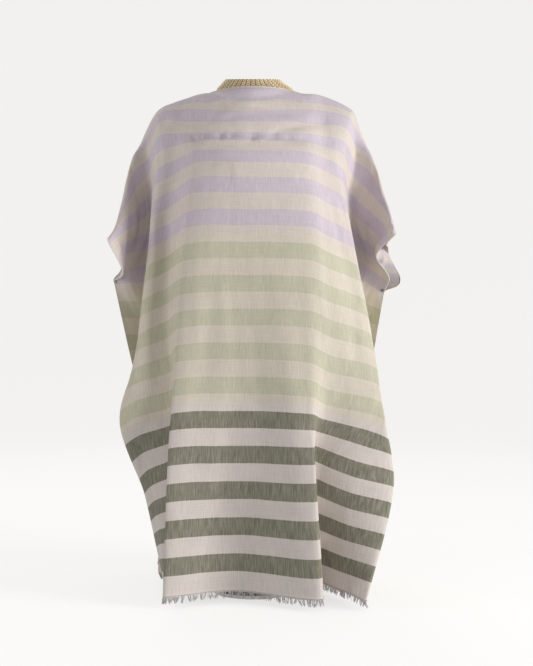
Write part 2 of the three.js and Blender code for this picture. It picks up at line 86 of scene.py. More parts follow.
# Folds of the front from left to right: place across, the points of its line (length down, x, y, z), its seam
FRONT_FOLDS = [
    (-560, [(50, -275, 4, 717), (120, -279, -64, 712), (235, -277, -168, 706), (312, -252, -130, 647),
            LEFT_SEAM[0]], LEFT_SEAM),
    (-465, [(50, -254, 2, 806), (120, -261, -68, 796), (235, -252, -108, 736), (375, -246, -92, 634),
            (450, -214, -50, 556), (540, -170, -14, 472), (700, -152, -34, 340), (850, -130, 12, 212),
            (1090, -114, 38, 22)], None),
    (-380, [(50, -238, 0, 890), (120, -241, -56, 874), (235, -218, -34, 776), (375, -214, -62, 640),
            (540, -202, -64, 482), (700, -236, -80, 350), (850, -206, -34, 212), (1090, -172, -8, 22)], None),
    (-325, [(50, -220, -4, 940), (120, -214, -38, 902), (235, -204, -54, 802),
            (375, -200, -84, 662), (540, -216, -104, 504), (700, -261, -110, 358),
            (850, -216, -74, 208), (1090, -178, -50, 22)], None),
    (-280, [(50, -192, -6, 986), (120, -191, -62, 943), (235, -192, -108, 829),
            (375, -203, -132, 694), (540, -221, -138, 533), (700, -230, -126, 380),
            (850, -200, -94, 228), (1090, -172, -84, 22)], None),
    (-205, [(50, -134, -24, 1004), (120, -150, -78, 946), (235, -150, -122, 850),
            (375, -162, -130, 718), (540, -172, -128, 560), (700, -153, -132, 404),
            (850, -152, -128, 254), (1090, -148, -116, 22)], None),
    (-160, [(50, -94, -50, 1003), (120, -112, -112, 938), (235, -112, -160, 865),
            (375, -123, -178, 737), (540, -137, -174, 579), (700, -151, -166, 424),
            (850, -162, -170, 275), (1090, -171, -168, 22)], None),
    (-10, [(50, -14, -98, 985), (120, -20, -138, 934), (235, -22, -182, 863), (375, -24, -190, 739),
           (540, -27, -178, 584), (700, -29, -162, 429), (850, -31, -146, 278), (1090, -33, -112, 23)], None),
    (140, [(50, 92, -46, 1004), (120, 98, -112, 937), (235, 100, -162, 863), (375, 106, -184, 736),
           (540, 108, -186, 580), (700, 107, -184, 423), (850, 116, -188, 279), (1090, 130, -190, 22)], None),
    (195, [(50, 136, -24, 1006), (120, 137, -82, 938), (235, 136, -135, 855), (375, 142, -166, 722),
           (540, 149, -168, 563), (700, 146, -150, 404), (850, 113, -126, 282), (1090, 128, -96, 34)], None),
    (280, [(50, 199, -6, 987), (120, 186, -62, 932), (235, 177, -105, 833), (375, 195, -125, 698),
           (540, 226, -130, 537), (700, 238, -132, 384), (850, 196, -136, 250), (1090, 176, -142, 28)], None),
    (325, [(50, 216, -2, 956), (120, 208, -30, 904), (235, 190, -54, 802), (375, 206, -86, 662),
           (540, 228, -110, 506), (700, 256, -124, 366), (850, 273, -128, 230), (1090, 214, -188, 20)], None),
    (380, [(50, 236, 0, 896), (120, 240, -46, 874), (235, 208, -38, 776), (375, 212, -66, 644),
           (540, 214, -72, 486), (700, 232, -78, 350), (850, 240, -74, 214), (1090, 206, -112, 20)], None),
    (465, [(50, 260, 0, 806), (120, 265, -76, 794), (185, 262, -104, 764), (275, 236, -78, 706),
           (375, 232, -66, 634), (450, 206, -34, 556), (540, 170, -8, 472), (700, 154, -38, 338),
           (850, 160, -38, 208), (1090, 170, -36, 22)], None),
    (560, [(50, 281, 2, 722), (120, 282, -72, 726), (185, 274, -146, 718), (275, 240, -124, 679),
           (335, 268, -94, 638), RIGHT_SEAM[0]], RIGHT_SEAM),
]

# Folds of the back, in the same order
BACK_FOLDS = [
    (-560, [(80, -282, 118, 715), (160, -286, 150, 700), (250, -280, 96, 664), (325, -284, 0, 640),
            LEFT_SEAM[0]], LEFT_SEAM),
    (-465, [(80, -260, 104, 770), (190, -256, 116, 700), (375, -240, 22, 628), (540, -202, 24, 474),
            (700, -160, 70, 340), (850, -142, 110, 212), (1090, -146, 140, 22)], None),
    (-380, [(80, -226, 66, 838), (190, -208, 58, 760), (375, -198, 86, 630), (540, -182, 96, 480),
            (700, -194, 138, 346), (850, -190, 168, 214), (1090, -192, 196, 22)], None),
    (-325, [(80, -204, 74, 884), (190, -196, 98, 790), (375, -210, 134, 640), (540, -218, 140, 488),
            (700, -224, 178, 350), (850, -216, 206, 218), (1090, -212, 234, 24)], None),
    (-280, [(80, -180, 88, 926), (190, -182, 128, 822), (375, -194, 162, 662), (540, -204, 178, 506),
            (700, -200, 210, 360), (850, -192, 234, 224), (1090, -184, 254, 24)], None),
    (-150, [(50, -88, 54, 1000), (120, -96, 94, 944), (235, -100, 106, 838), (375, -106, 102, 708),
            (540, -110, 98, 548), (700, -112, 118, 392), (850, -114, 136, 248), (1090, -112, 150, 26)], None),
    (-20, [(50, -14, 92, 986), (120, -14, 130, 926), (235, -20, 162, 820), (375, -24, 178, 690),
           (540, -28, 192, 534), (700, -34, 220, 382), (850, -40, 238, 242), (1090, -48, 252, 22)], None),
    (100, [(50, 64, 72, 994), (120, 66, 106, 936), (235, 62, 114, 828), (375, 56, 114, 698),
           (540, 52, 120, 540), (700, 44, 126, 386), (850, 40, 144, 244), (1090, 30, 158, 25)], None),
    (205, [(50, 134, 34, 1002), (120, 132, 88, 946), (235, 130, 146, 840), (375, 126, 174, 706),
           (540, 122, 190, 548), (700, 112, 198, 394), (850, 108, 222, 250), (1090, 100, 238, 23)], None),
    (280, [(80, 182, 84, 930), (190, 174, 108, 828), (375, 166, 120, 666), (540, 166, 130, 510),
           (700, 166, 146, 362), (850, 162, 164, 226), (1090, 156, 178, 25)], None),
    (325, [(80, 208, 72, 886), (190, 202, 96, 792), (375, 202, 132, 642), (540, 206, 146, 490),
           (700, 204, 168, 350), (850, 200, 188, 218), (1090, 196, 208, 24)], None),
    (380, [(80, 230, 64, 840), (190, 212, 56, 762), (375, 204, 86, 630), (540, 198, 96, 482),
           (700, 214, 116, 344), (850, 214, 136, 212), (1090, 216, 160, 22)], None),
    (465, [(80, 266, 104, 772), (190, 264, 116, 704), (375, 234, 26, 620), (540, 196, 28, 470),
           (700, 162, 60, 336), (850, 148, 90, 208), (1090, 150, 106, 22)], None),
    (560, [(80, 290, 118, 714), (160, 296, 146, 694), (240, 304, 96, 664), (300, 304, 22, 642),
           (340, 294, -22, 624), RIGHT_SEAM[0]], RIGHT_SEAM),
]

# Soft folds dragged across the chest: middle across and down, half width, half length, depth, slope
DRAG_FOLDS = [
    (20, 30, 90, 12, 5, 0.10), (30, 94, 95, 17, 6, 0.05), (-60, 158, 150, 20, 8, 0.02),
    (150, 176, 80, 20, 6, -0.10),
]

# Small creases laid on each panel: start across and down, end across and down, half width,
# height (a trough is negative)
FRONT_CREASES = [
    (-260, 30, -150, 190, 16, -2.5), (-235, 18, -60, 66, 11, 2.0), (-120, 70, 60, 78, 9, -3.4),
    (-40, 108, 150, 120, 11, 3.2), (-190, 140, 20, 132, 12, 3.0), (-130, 205, 110, 198, 13, -2.0),
    (60, 150, 215, 110, 11, -3.4), (150, 60, 250, 24, 12, 2.2), (-330, 60, -255, 250, 14, -3.0),
    (-300, 260, -235, 520, 16, 2.4), (-240, 300, -205, 640, 13, -2.6), (-95, 430, -110, 780, 22, -2.4),
    (-60, 500, -70, 920, 18, 2.0), (20, 560, 10, 1010, 24, -2.6), (70, 470, 78, 880, 18, 2.0),
    (110, 560, 100, 1000, 14, -2.2), (215, 300, 235, 640, 14, -2.8), (250, 220, 268, 520, 12, 2.2),
    (300, 420, 300, 700, 15, -2.6), (350, 500, 352, 820, 14, 2.4), (410, 430, 400, 760, 18, -2.4),
    (-410, 430, -400, 700, 18, -2.6), (-350, 520, -352, 760, 14, 2.6), (-520, 200, -470, 330, 12, -3.0),
    (-440, 150, -420, 300, 14, 2.4), (520, 160, 470, 300, 12, -3.0), (430, 140, 415, 300, 13, 2.4),
    (540, 400, 430, 560, 14, -2.4), (-545, 400, -440, 560, 14, -2.4), (-30, 700, 60, 760, 12, -1.6),
    (-150, 860, -20, 880, 16, -1.8), (30, 930, 120, 915, 14, 1.6),
    (-85, 44, 70, 52, 8, -2.0), (-60, 60, 95, 66, 8, 2.2), (-105, 96, 60, 88, 9, 2.4),
    (-168, 146, -160, 182, 10, -4.6), (-134, 144, -128, 176, 8, -3.6), (-78, 144, -72, 182, 9, -4.6),
    (-44, 148, -38, 174, 7, -3.0), (10, 144, 18, 186, 9, -4.6), (62, 144, 68, 180, 9, -4.2),
    (98, 146, 104, 176, 8, -3.4), (140, 142, 144, 172, 7, -2.8), (-150, 192, 150, 198, 9, 2.6),
    (300, 70, 350, 250, 10, -3.6), (392, 120, 424, 330, 11, -3.8), (-392, 110, -430, 330, 11, -3.6),
    (350, 230, 470, 350, 12, 3.0), (-350, 250, -480, 360, 12, 3.0),
    (-150, 214, 100, 222, 12, -1.8), (-110, 262, 60, 256, 12, 1.6), (-30, 246, -26, 300, 8, 1.6),
]
BACK_CREASES = [
    (-250, 30, -140, 200, 15, -2.6), (-90, 60, 90, 72, 10, -2.2), (-60, 100, 140, 112, 12, 2.0),
    (150, 50, 235, 200, 14, -2.4), (-210, 150, -60, 140, 13, 2.0), (40, 180, 180, 170, 13, -2.0),
    (-300, 240, -250, 560, 16, -2.6), (-230, 340, -225, 800, 18, 2.4), (-70, 300, -85, 720, 20, -2.6),
    (-60, 620, -75, 1000, 16, 2.2), (40, 360, 40, 860, 20, 2.2), (150, 320, 155, 760, 18, -2.4),
    (240, 300, 250, 700, 15, 2.4), (300, 380, 305, 760, 14, -2.6), (-345, 420, -350, 760, 15, 2.6),
    (400, 430, 410, 800, 18, -2.4), (-410, 420, -420, 780, 18, -2.4), (-510, 180, -450, 320, 13, -3.0),
    (510, 180, 450, 320, 13, -3.0), (530, 410, 430, 560, 14, -2.4), (-535, 410, -440, 560, 14, -2.4),
    (-120, 820, 20, 840, 15, -1.8), (60, 900, 170, 885, 14, 1.8),
]

# Bow of a crease as a share of its length, and how far the creases fade at the side edges and the top
CREASE_BOW = 0.06
CREASE_SIDE_FADE = 22
CREASE_TOP_FADE = 26

# Fine upright ripples: distance from one to the next, lean, phase, height
RIPPLES = ((61, 0.10, 0.4, 0.50), (37, -0.07, 2.1, 0.32), (23, 0.16, 4.0, 0.18))

# Share of the ripples at the top, where down the cloth they begin to grow, and over what length
RIPPLE_LEAST = 0.35
RIPPLE_FROM = 250
RIPPLE_GROWTH = 300

# How far the ripples wander sideways, and over which lengths down the cloth they wander and swell
RIPPLE_DRIFT = 9
RIPPLE_DRIFT_LENGTH = 83
RIPPLE_SWELL_LENGTH = 131

# The dress form from the bottom up: height, then its reach to the left, right, front and back
TORSO_SECTIONS = [
    (400, 118, 118, 84, 84), (404, 126, 126, 90, 90), (440, 142, 142, 98, 100), (500, 150, 150, 100, 104),
    (560, 142, 142, 94, 98), (640, 120, 120, 82, 84), (700, 122, 122, 88, 84), (770, 136, 136, 106, 90),
    (830, 144, 146, 108, 94), (880, 152, 154, 92, 92), (925, 172, 176, 70, 76), (951, 182, 188, 56, 62),
    (970, 184, 191, 47, 50), (981.5, 176, 184, 43, 45), (991.5, 158, 166, 43, 44),
    (1000.5, 134, 144, 45, 46), (1009, 108, 118, 48, 48), (1015, 85, 93, 40, 30),
    (1023, 77, 86, 38, 31), (1031, 74, 81, 41, 36), (1040, 66, 67, 43, 40), (1050, 57, 56, 43, 42),
]
TORSO_CENTRE_Y = 4
NECK_TILT = 0.2
NECK_TILT_FROM = 1013

# The straw cover: scale inside the form, width of one rib in its texture, points across a rib, rings of each
# lid and its last share, the height from which the cords are carved one by one, and the relief below it
COVER_SCALE = 0.996
RIB_PLACE = 9
RIB_POINTS = 10
LID_RINGS = 26
LID_HOLE = 0.004
CORDS_FROM = 1000
PLAIN_CORD = 0.8

# The weave in metres: from one thread to the next, how far the stripes wander and how uneven their edges are,
# and how much wider the stripe beside the shoulder fold is
THREAD_PITCH = 0.0011
STRIPE_WANDER = 0.0016
STRIPE_UNEVENNESS = 0.0012
TOP_STRIPE_EXTRA = 0.003

# A stitch: place along it and lift, and its radii
STITCH_SHAPE = ((-1.0, -0.25), (-0.6, 0.18), (0.0, 0.30), (0.6, 0.18), (1.0, -0.25))
STITCH_RADII = (0.16, 0.30, 0.34, 0.30, 0.16)
TACK_STITCHES = 4
TACK_LENGTH = 6.5

# Spread of the loose yarns in millimetres, the shares of their length where they bend, and their taper
TUFT_LEAN = 2.2
YARN_SWAY = 1.1
YARN_KICK = 1.0
YARN_CURL = 0.8
YARN_BENDS = (0, 0.2, 0.45, 0.7, 1.0)
YARN_TAPER = np.array([1, 1, 0.95, 0.85, 0.5])

# The round paper backdrop, in metres: middle, flat floor, bend and height
BACKDROP_MIDDLE = (0.01, 1.0)
BACKDROP_FLAT = 3.4
BACKDROP_BEND = 1.4
BACKDROP_HEIGHT = 6.0
BACKDROP_STEPS = 17
BACKDROP_SIDES = 96

# The soft lights in metres: name, place, what it looks at, side length, colour
LIGHTS = (
    ("key_light", (2.9, -1.5, 1.05), (0, 0, 0.5), 1.4, (1.0, 0.985, 0.96)),
    ("fill_light", (-2.9, -1.2, 1.0), (0, 0, 0.55), 1.6, (1.0, 0.975, 0.95)),
    ("back_light", (-0.8, 2.3, 2.6), (0, 0.2, 0.5), 1.2, (1.0, 0.99, 0.97)),
)

# The picture in pixels, where its middle line through the pole lies, and the camera's sensor in millimetres
PICTURE_WIDTH = 533
PICTURE_HEIGHT = 666
POLE_PIXEL = 253
SENSOR = 36


def curve_through(keys, points, at):
    """Smooth curve through rows of points, or through rows of their own for each place in at."""
    keys = np.asarray(keys, float)
    points = np.asarray(points, float)
    before = np.maximum(np.arange(len(keys)) - 1, 0)
    after = np.minimum(np.arange(len(keys)) + 1, len(keys) - 1)
    run = (keys[after] - keys[before]).reshape((-1,) + (1,) * (points.ndim - 1))
    slopes = (points[after] - points[before]) / run
    i = np.clip(np.searchsorted(keys, at, side="left") - 1, 0, len(keys) - 2)
    span = keys[i + 1] - keys[i]
    u = (at - keys[i]) / span
    ease = (u * u * (3 - 2 * u))[:, None]
    leave = (u * (1 - u) ** 2 * span)[:, None]
    arrive = (u * u * (u - 1) * span)[:, None]
    place = (i,) if points.ndim == 2 else (i, np.arange(len(i)))
    following = (i + 1,) if points.ndim == 2 else (i + 1, np.arange(len(i)))
    start = points[place]
    return start + (points[following] - start) * ease + slopes[place] * leave + slopes[following] * arrive


def top_edge(across, side):
    """Points of the top edge, where the front edge of the neck slit swings forward and the back edge back."""
    rows = np.asarray(SHOULDER_FOLD, float)
    points = curve_through(rows[:, 0], rows[:, 1:], across)
    turn = np.minimum(np.abs(across) / SLIT_HALF, 1)
    points[:, 1] += side * SLIT_REACH * np.clip(np.cos(turn * np.pi / 2), 0, 1) ** SLIT_ROUNDNESS
    return points


def down_curve(row, side, down):
    """Points of one fold line at the given lengths down the cloth."""
    across, line, seam = row
    rows = np.vstack([[0, *top_edge(np.array([float(across)]), side)[0]], line])
    points = curve_through(rows[:, 0], rows[:, 1:], down)
    if seam is None:
        return points
    rows = np.asarray(seam, float)
    return np.where((down < ARMHOLE_DEPTH)[:, None], points, curve_through(rows[:, 0], rows[:, 1:], down))


def cloth_surface(side, across, down):
    """Outer face of a panel in millimetres, at paired places across and down the cloth."""
    folds = FRONT_FOLDS if side == FRONT else BACK_FOLDS
    places = np.array([row[0] for row in folds], float)
    columns = np.stack([down_curve(row, side, down) for row in folds])
    points = curve_through(places, columns, across)
    share = np.maximum(0, 1 - down / TOP_EDGE_DRAW) ** 2
    if side == FRONT:
        depth = np.zeros(len(across))
        for middle, low, half_width, half_length, trough, slope in DRAG_FOLDS:
            along = (across - middle) / half_width
            over = (down - low - (across - middle) * slope) / half_length
            depth += trough * np.exp(-along ** 2 - over ** 2)
        points[:, 1] += depth * (1 - share)
    passed = curve_through(places, top_edge(places, side), across)
    return points + (top_edge(across, side) - passed) * share[:, None]


def crease_height(side, across, down, strength):
    """Height of the small creases and puckers, which fade out at the seams, the fold and the neck."""
    height = np.zeros(len(across))
    for a0, d0, a1, d1, half_width, rise in (FRONT_CREASES if side == FRONT else BACK_CREASES):
        run = np.array([a1 - a0, d1 - d0], float)
        length = np.hypot(*run)
        share = ((across - a0) * run[0] + (down - d0) * run[1]) / length ** 2
        bow = CREASE_BOW * length * np.sin(np.clip(share, 0, 1) * np.pi)
        off = ((across - a0) * run[1] - (down - d0) * run[0]) / length - bow
        ends = np.clip(share, 0, 1) * np.clip(1 - share, 0, 1) * 4
        height += rise * np.exp(-(off / half_width) ** 2) * np.sqrt(ends)
    hanging = RIPPLE_LEAST + (1 - RIPPLE_LEAST) * np.clip((down - RIPPLE_FROM) / RIPPLE_GROWTH, 0, 1)
    for wave, lean, phase, size in RIPPLES:
        drift = across + lean * down + RIPPLE_DRIFT * np.sin(down / RIPPLE_DRIFT_LENGTH + phase)
        swell = 0.6 + 0.4 * np.sin(down / RIPPLE_SWELL_LENGTH + 2 * phase)
        height += size * (np.sin(drift * 2 * np.pi / wave + phase) * swell) * hanging
    edge = np.clip((HALF_WIDTH - np.abs(across)) / CREASE_SIDE_FADE, 0, 1)
    top = np.clip(down / CREASE_TOP_FADE, 0, 1)
    return strength * height * edge * top


def cloth_normal(side, across, down):
    """Direction pointing out of the cloth."""
    a0 = np.clip(across - SLOPE_STEP, -HALF_WIDTH, HALF_WIDTH)
    a1 = np.clip(across + SLOPE_STEP, -HALF_WIDTH, HALF_WIDTH)
    d0 = np.clip(down - SLOPE_STEP, 0, PANEL_LENGTH)
    d1 = np.clip(down + SLOPE_STEP, 0, PANEL_LENGTH)
    along = cloth_surface(side, a1, down) - cloth_surface(side, a0, down)
    fall = cloth_surface(side, across, d1) - cloth_surface(side, across, d0)
    normal = np.cross(fall, along) * -side
    return normal / np.maximum(np.linalg.norm(normal, axis=1), 1e-9)[:, None]


def shared_normal(side, across, down):
    """As cloth_normal, but the panels share one direction where they meet."""
    normal = cloth_normal(side, across, down)
    on_fold = (down < 1e-6) & (np.abs(across) >= SLIT_HALF)
    on_seam = (np.abs(across) > HALF_WIDTH - 1e-6) & (down >= ARMHOLE_DEPTH)
    meets = on_fold | on_seam
    if meets.any():
        both = normal[meets] + cloth_normal(-side, across[meets], down[meets])
        normal[meets] = both / np.linalg.norm(both, axis=1)[:, None]
    return normal


def on_cloth(side, across, down, rise, strength):
    """Points in millimetres at a height above the finished outer face, and the directions there."""
    across = np.asarray(across, float)
    down = np.asarray(down, float)
    normal = shared_normal(side, across, down)
    lift = crease_height(side, across, down, strength) + rise
    return cloth_surface(side, across, down) + normal * lift[:, None], normal


def stations(stops):
    """Stations through (place, parts to the next) rows."""
    rows = [np.linspace(a, b, parts, endpoint=False) for (a, parts), (b, _) in zip(stops, stops[1:])]
    return np.append(np.concatenate(rows), stops[-1][0])


def grid_faces(rows, columns, wrap=False, flip=False):
    """Quads of a grid of points that runs row by row."""
    faces = []
    for i in range(rows - 1):
        for j in range(columns if wrap else columns - 1):
            a, b = i * columns + j, i * columns + (j + 1) % columns
            quad = (a, b, b + columns, a + columns)
            faces.append(quad[::-1] if flip else quad)
    return faces


def make_piece(name, points, faces, material, places, replaces=()):
    """A smooth mesh object on the part's body. Its places on the flat cloth are kept in metres."""
    mesh = bpy.data.meshes.new(name)
    mesh.from_pydata((np.asarray(points) * MM).tolist(), [], faces)
    mesh.update()
    mesh.polygons.foreach_set("use_smooth", [True] * len(mesh.polygons))
    cut = mesh.attributes.new("cut", "FLOAT_VECTOR", "POINT")
    cut.data.foreach_set("vector", (np.asarray(places, float) * MM).ravel())
    mesh.materials.append(material)
    piece = bpy.data.objects.new(name, mesh)
    bpy.context.collection.objects.link(piece)
    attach(piece, BODY)
    if replaces:
        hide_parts(*replaces)
    return piece


class Strands:
    """Collects many small tapered tubes into one mesh."""

    def __init__(self):
        self.points = []
        self.faces = []
        self.places = []

    def tube(self, path, radii, sides, place=(0, 0)):
        """Adds a tube along the rows of path, closed at both ends."""
        path = np.asarray(path, float)
        first = len(self.points)
        along = np.gradient(path, axis=0)
        along /= np.maximum(np.linalg.norm(along, axis=1), 1e-9)[:, None]
        guide = np.array([0.31, 0.87, 0.38])
        u = np.cross(along, guide)
        u /= np.maximum(np.linalg.norm(u, axis=1), 1e-9)[:, None]
        v = np.cross(along, u)
        turn = 2 * np.pi * np.arange(sides) / sides
        ring = np.cos(turn)[None, :, None] * u[:, None] + np.sin(turn)[None, :, None] * v[:, None]
        points = path[:, None] + np.asarray(radii, float)[:, None, None] * ring
        self.points.extend(points.reshape(-1, 3).tolist())
        self.places.extend((place[0] + k, place[1] + i, 0) for i in range(len(path)) for k in range(sides))
        for i in range(len(path) - 1):
            for k in range(sides):
                a, b = first + i * sides + k, first + i * sides + (k + 1) % sides
                self.faces.append((a, b, b + sides, a + sides))
        last = first + (len(path) - 1) * sides
        self.faces.append(tuple(range(first, first + sides))[::-1])
        self.faces.append(tuple(range(last, last + sides)))

    def piece(self, name, slot, material, replaces=()):
        return make_piece(name, self.points, self.faces, material, self.places, replaces)


def link(tree, source, target):
    tree.links.new(source, target)


def math_node(tree, operation, *values):
    """A Math node whose inputs are sockets or numbers. Gives its output socket."""
    node = tree.nodes.new("ShaderNodeMath")
    node.operation = operation
    for socket, value in zip(node.inputs, values):
        if isinstance(value, (int, float)):
            socket.default_value = value
        else:
            link(tree, value, socket)
    return node.outputs[0]


def added(tree, a, b):
    return math_node(tree, "ADD", a, b)


def times(tree, a, b):
    return math_node(tree, "MULTIPLY", a, b)


def separated(tree, vector):
    """The three numbers of a vector."""
    node = tree.nodes.new("ShaderNodeSeparateXYZ")
    link(tree, vector, node.inputs[0])
    return node.outputs


def mix_colour(tree, share, a, b, blend="MIX"):
    """A colour mix whose inputs are sockets, numbers or colours. Gives its output socket."""
    node = tree.nodes.new("ShaderNodeMix")
    node.data_type = "RGBA"
    node.blend_type = blend
    for socket, value in ((node.inputs[0], share), (node.inputs[6], a), (node.inputs[7], b)):
        if isinstance(value, bpy.types.NodeSocket):
            link(tree, value, socket)
        elif isinstance(value, (int, float)):
            socket.default_value = value
        else:
            socket.default_value = (*tuple(value)[:3], 1)
    return node.outputs[2]


def noise(tree, vector, scale, detail=2.0, roughness=0.5):
    """Soft noise. The scale is a number or a socket."""
    node = tree.nodes.new("ShaderNodeTexNoise")
    if isinstance(scale, (int, float)):
        node.inputs["Scale"].default_value = scale
    else:
        link(tree, scale, node.inputs["Scale"])
    node.inputs["Detail"].default_value = detail
    node.inputs["Roughness"].default_value = roughness
    link(tree, vector, node.inputs["Vector"])
    return node.outputs["Fac"]


def stretched(tree, vector, x, y, z=1.0):
    """The vector times one number along each axis."""
    node = tree.nodes.new("ShaderNodeVectorMath")
    node.operation = "MULTIPLY"
    link(tree, vector, node.inputs[0])
    node.inputs[1].default_value = (x, y, z)
    return node.outputs[0]


def remap(tree, value, low, high, to_low=0.0, to_high=1.0):
    node = tree.nodes.new("ShaderNodeMapRange")
    link(tree, value, node.inputs["Value"])
    for name, number in (("From Min", low), ("From Max", high), ("To Min", to_low), ("To Max", to_high)):
        node.inputs[name].default_value = number
    return node.outputs["Result"]


def new_group(name, inputs, outputs):
    """An empty shader node group with named sockets. Gives the group, its input node and its output node."""
    group = bpy.data.node_groups.new(name, "ShaderNodeTree")
    for socket, kind in inputs:
        group.interface.new_socket(socket, in_out="INPUT", socket_type=kind)
    for socket, kind in outputs:
        group.interface.new_socket(socket, in_out="OUTPUT", socket_type=kind)
    return group, group.nodes.new("NodeGroupInput"), group.nodes.new("NodeGroupOutput")


def weave_group():
    """Hand-woven cotton from a place on the flat cloth: warp, weft, uneven yarns and long slubs."""
    group = bpy.data.node_groups.get("Woven cotton")
    if group:
        return group
    group, start, end = new_group(
        "Woven cotton",
        [("Place", "NodeSocketVector")],
        [("Warp", "NodeSocketFloat"), ("Slub", "NodeSocketFloat"), ("Tone", "NodeSocketFloat"),
         ("Height", "NodeSocketFloat")])
    place = start.outputs["Place"]
    warp = noise(group, stretched(group, place, 420, 34), 1.0, 4.0, 0.7)
    weft = noise(group, stretched(group, place, 16, 460), 1.0, 4.0, 0.7)
    slub = remap(group, noise(group, stretched(group, place, 260, 22), 1.0, 2.0), 0.54, 0.70)
    cloud = noise(group, place, 9.0, 2.0)
    across, down, _ = separated(group, place)
    thread = 2 * math.pi / THREAD_PITCH
    over = math_node(group, "SINE", times(group, across, thread))
    under = math_node(group, "SINE", times(group, down, thread))
    crossing = times(group, over, under)
    tone = added(group, times(group, warp, 0.5), times(group, weft, 0.3))
    tone = added(group, tone, times(group, cloud, 0.2))
    height = added(group, times(group, crossing, 0.25), warp)
    height = added(group, height, times(group, weft, 0.6))
    height = added(group, height, times(group, slub, 0.5))
    for name, value in (("Warp", warp), ("Slub", slub), ("Tone", tone), ("Height", height)):
        link(group, value, end.inputs[name])
    return group


def new_material(name, roughness, metallic=0.0, sheen=0.0):
    """A node material with its Principled shader. Gives the material, its tree and the shader."""
    material = bpy.data.materials.new(name)
    material.use_nodes = True
    tree = material.node_tree
    shader = tree.nodes["Principled BSDF"]
    shader.inputs["Roughness"].default_value = roughness
    shader.inputs["Metallic"].default_value = metallic
    shader.inputs["Sheen Weight"].default_value = sheen
    return material, tree, shader


def cut_place(tree):
    """The place on the flat cloth, in metres."""
    node = tree.nodes.new("ShaderNodeAttribute")
    node.attribute_name = "cut"
    return node.outputs["Vector"]


def woven(tree):
    node = tree.nodes.new("ShaderNodeGroup")
    node.node_tree = weave_group()
    link(tree, cut_place(tree), node.inputs["Place"])
    return node


def bump(tree, shader, height, strength, distance):
    node = tree.nodes.new("ShaderNodeBump")
    node.inputs["Strength"].default_value = strength
    node.inputs["Distance"].default_value = distance
    link(tree, height, node.inputs["Height"])
    link(tree, node.outputs["Normal"], shader.inputs["Normal"])


def striped_cloth(cloth):
    """Cotton woven in even cross stripes: lavender, then sage, then dark olive, on cream and off-white."""
    material, tree, shader = new_material("Striped woven cotton", 0.9, sheen=0.12)
    place = cut_place(tree)
    down = separated(tree, place)["Y"]
    wander = math_node(tree, "SUBTRACT", noise(tree, place, 14.0), 0.5)
    uneven = math_node(tree, "SUBTRACT", noise(tree, stretched(tree, place, 900, 2), 1.0), 0.5)
    along = added(tree, down, times(tree, wander, STRIPE_WANDER))
    along = added(tree, along, times(tree, uneven, STRIPE_UNEVENNESS))
    from_first = math_node(tree, "SUBTRACT", along, cloth.first_stripe)
    within = math_node(tree, "FRACT", math_node(tree, "DIVIDE", from_first, cloth.stripe_pitch))
    share = cloth.stripe_width / cloth.stripe_pitch
    soft = 0.008
    stripe = times(tree, remap(tree, within, 0, soft), remap(tree, within, share, share - soft))
    stripe = times(tree, stripe, math_node(tree, "LESS_THAN", along, cloth.last_stripe))
    top_stripe_end = cloth.first_stripe + cloth.stripe_width + TOP_STRIPE_EXTRA
    top_stripe = times(tree, math_node(tree, "GREATER_THAN", along, cloth.stripes_from),
                       math_node(tree, "LESS_THAN", along, top_stripe_end))
    stripe = math_node(tree, "MAXIMUM", stripe, top_stripe)
    past_lavender = remap(tree, along, cloth.sage_from - 0.001, cloth.sage_from)
    past_sage = remap(tree, along, cloth.olive_from - 0.001, cloth.olive_from)
    upper = mix_colour(tree, past_lavender, cloth.lavender, cloth.sage)
    yarn = mix_colour(tree, past_sage, upper, cloth.olive)
    upper_ground = mix_colour(tree, past_lavender, cloth.cream, cloth.warm_cream)
    ground = mix_colour(tree, past_sage, upper_ground, cloth.off_white)
    weave = woven(tree)
    cover = remap(tree, weave.outputs["Warp"], 0.34, 0.68, 0.02, 0.32)
    worn = mix_colour(tree, cover, yarn, ground)
    worn = mix_colour(tree, times(tree, weave.outputs["Slub"], 0.10), worn, cloth.off_white)
    colour = mix_colour(tree, stripe, ground, worn)
    tint = remap(tree, weave.outputs["Tone"], 0.34, 0.66, 0.82, 1.11)
    combine = tree.nodes.new("ShaderNodeCombineXYZ")
    for socket in combine.inputs:
        link(tree, tint, socket)
    colour = mix_colour(tree, 1.0, colour, combine.outputs[0], "MULTIPLY")
    link(tree, colour, shader.inputs["Base Color"])
    link(tree, remap(tree, weave.outputs["Tone"], 0.3, 0.7, 0.82, 0.97), shader.inputs["Roughness"])
    bump(tree, shader, weave.outputs["Height"], 0.55, 0.0004)
    return material


def plain_cotton(name, colour, depth):
    """Cream cotton for turned edges, threads and loose yarns."""
    material, tree, shader = new_material(name, 0.9, sheen=0.1)
    weave = woven(tree)
    dark = tuple(channel * (1 - depth) for channel in tuple(colour)[:3])
    share = remap(tree, weave.outputs["Tone"], 0.32, 0.62)
    link(tree, mix_colour(tree, share, dark, colour), shader.inputs["Base Color"])
    link(tree, remap(tree, weave.outputs["Warp"], 0.3, 0.7, 0.8, 0.96), shader.inputs["Roughness"])
    bump(tree, shader, weave.outputs["Height"], 0.3, 0.0003)
    return material


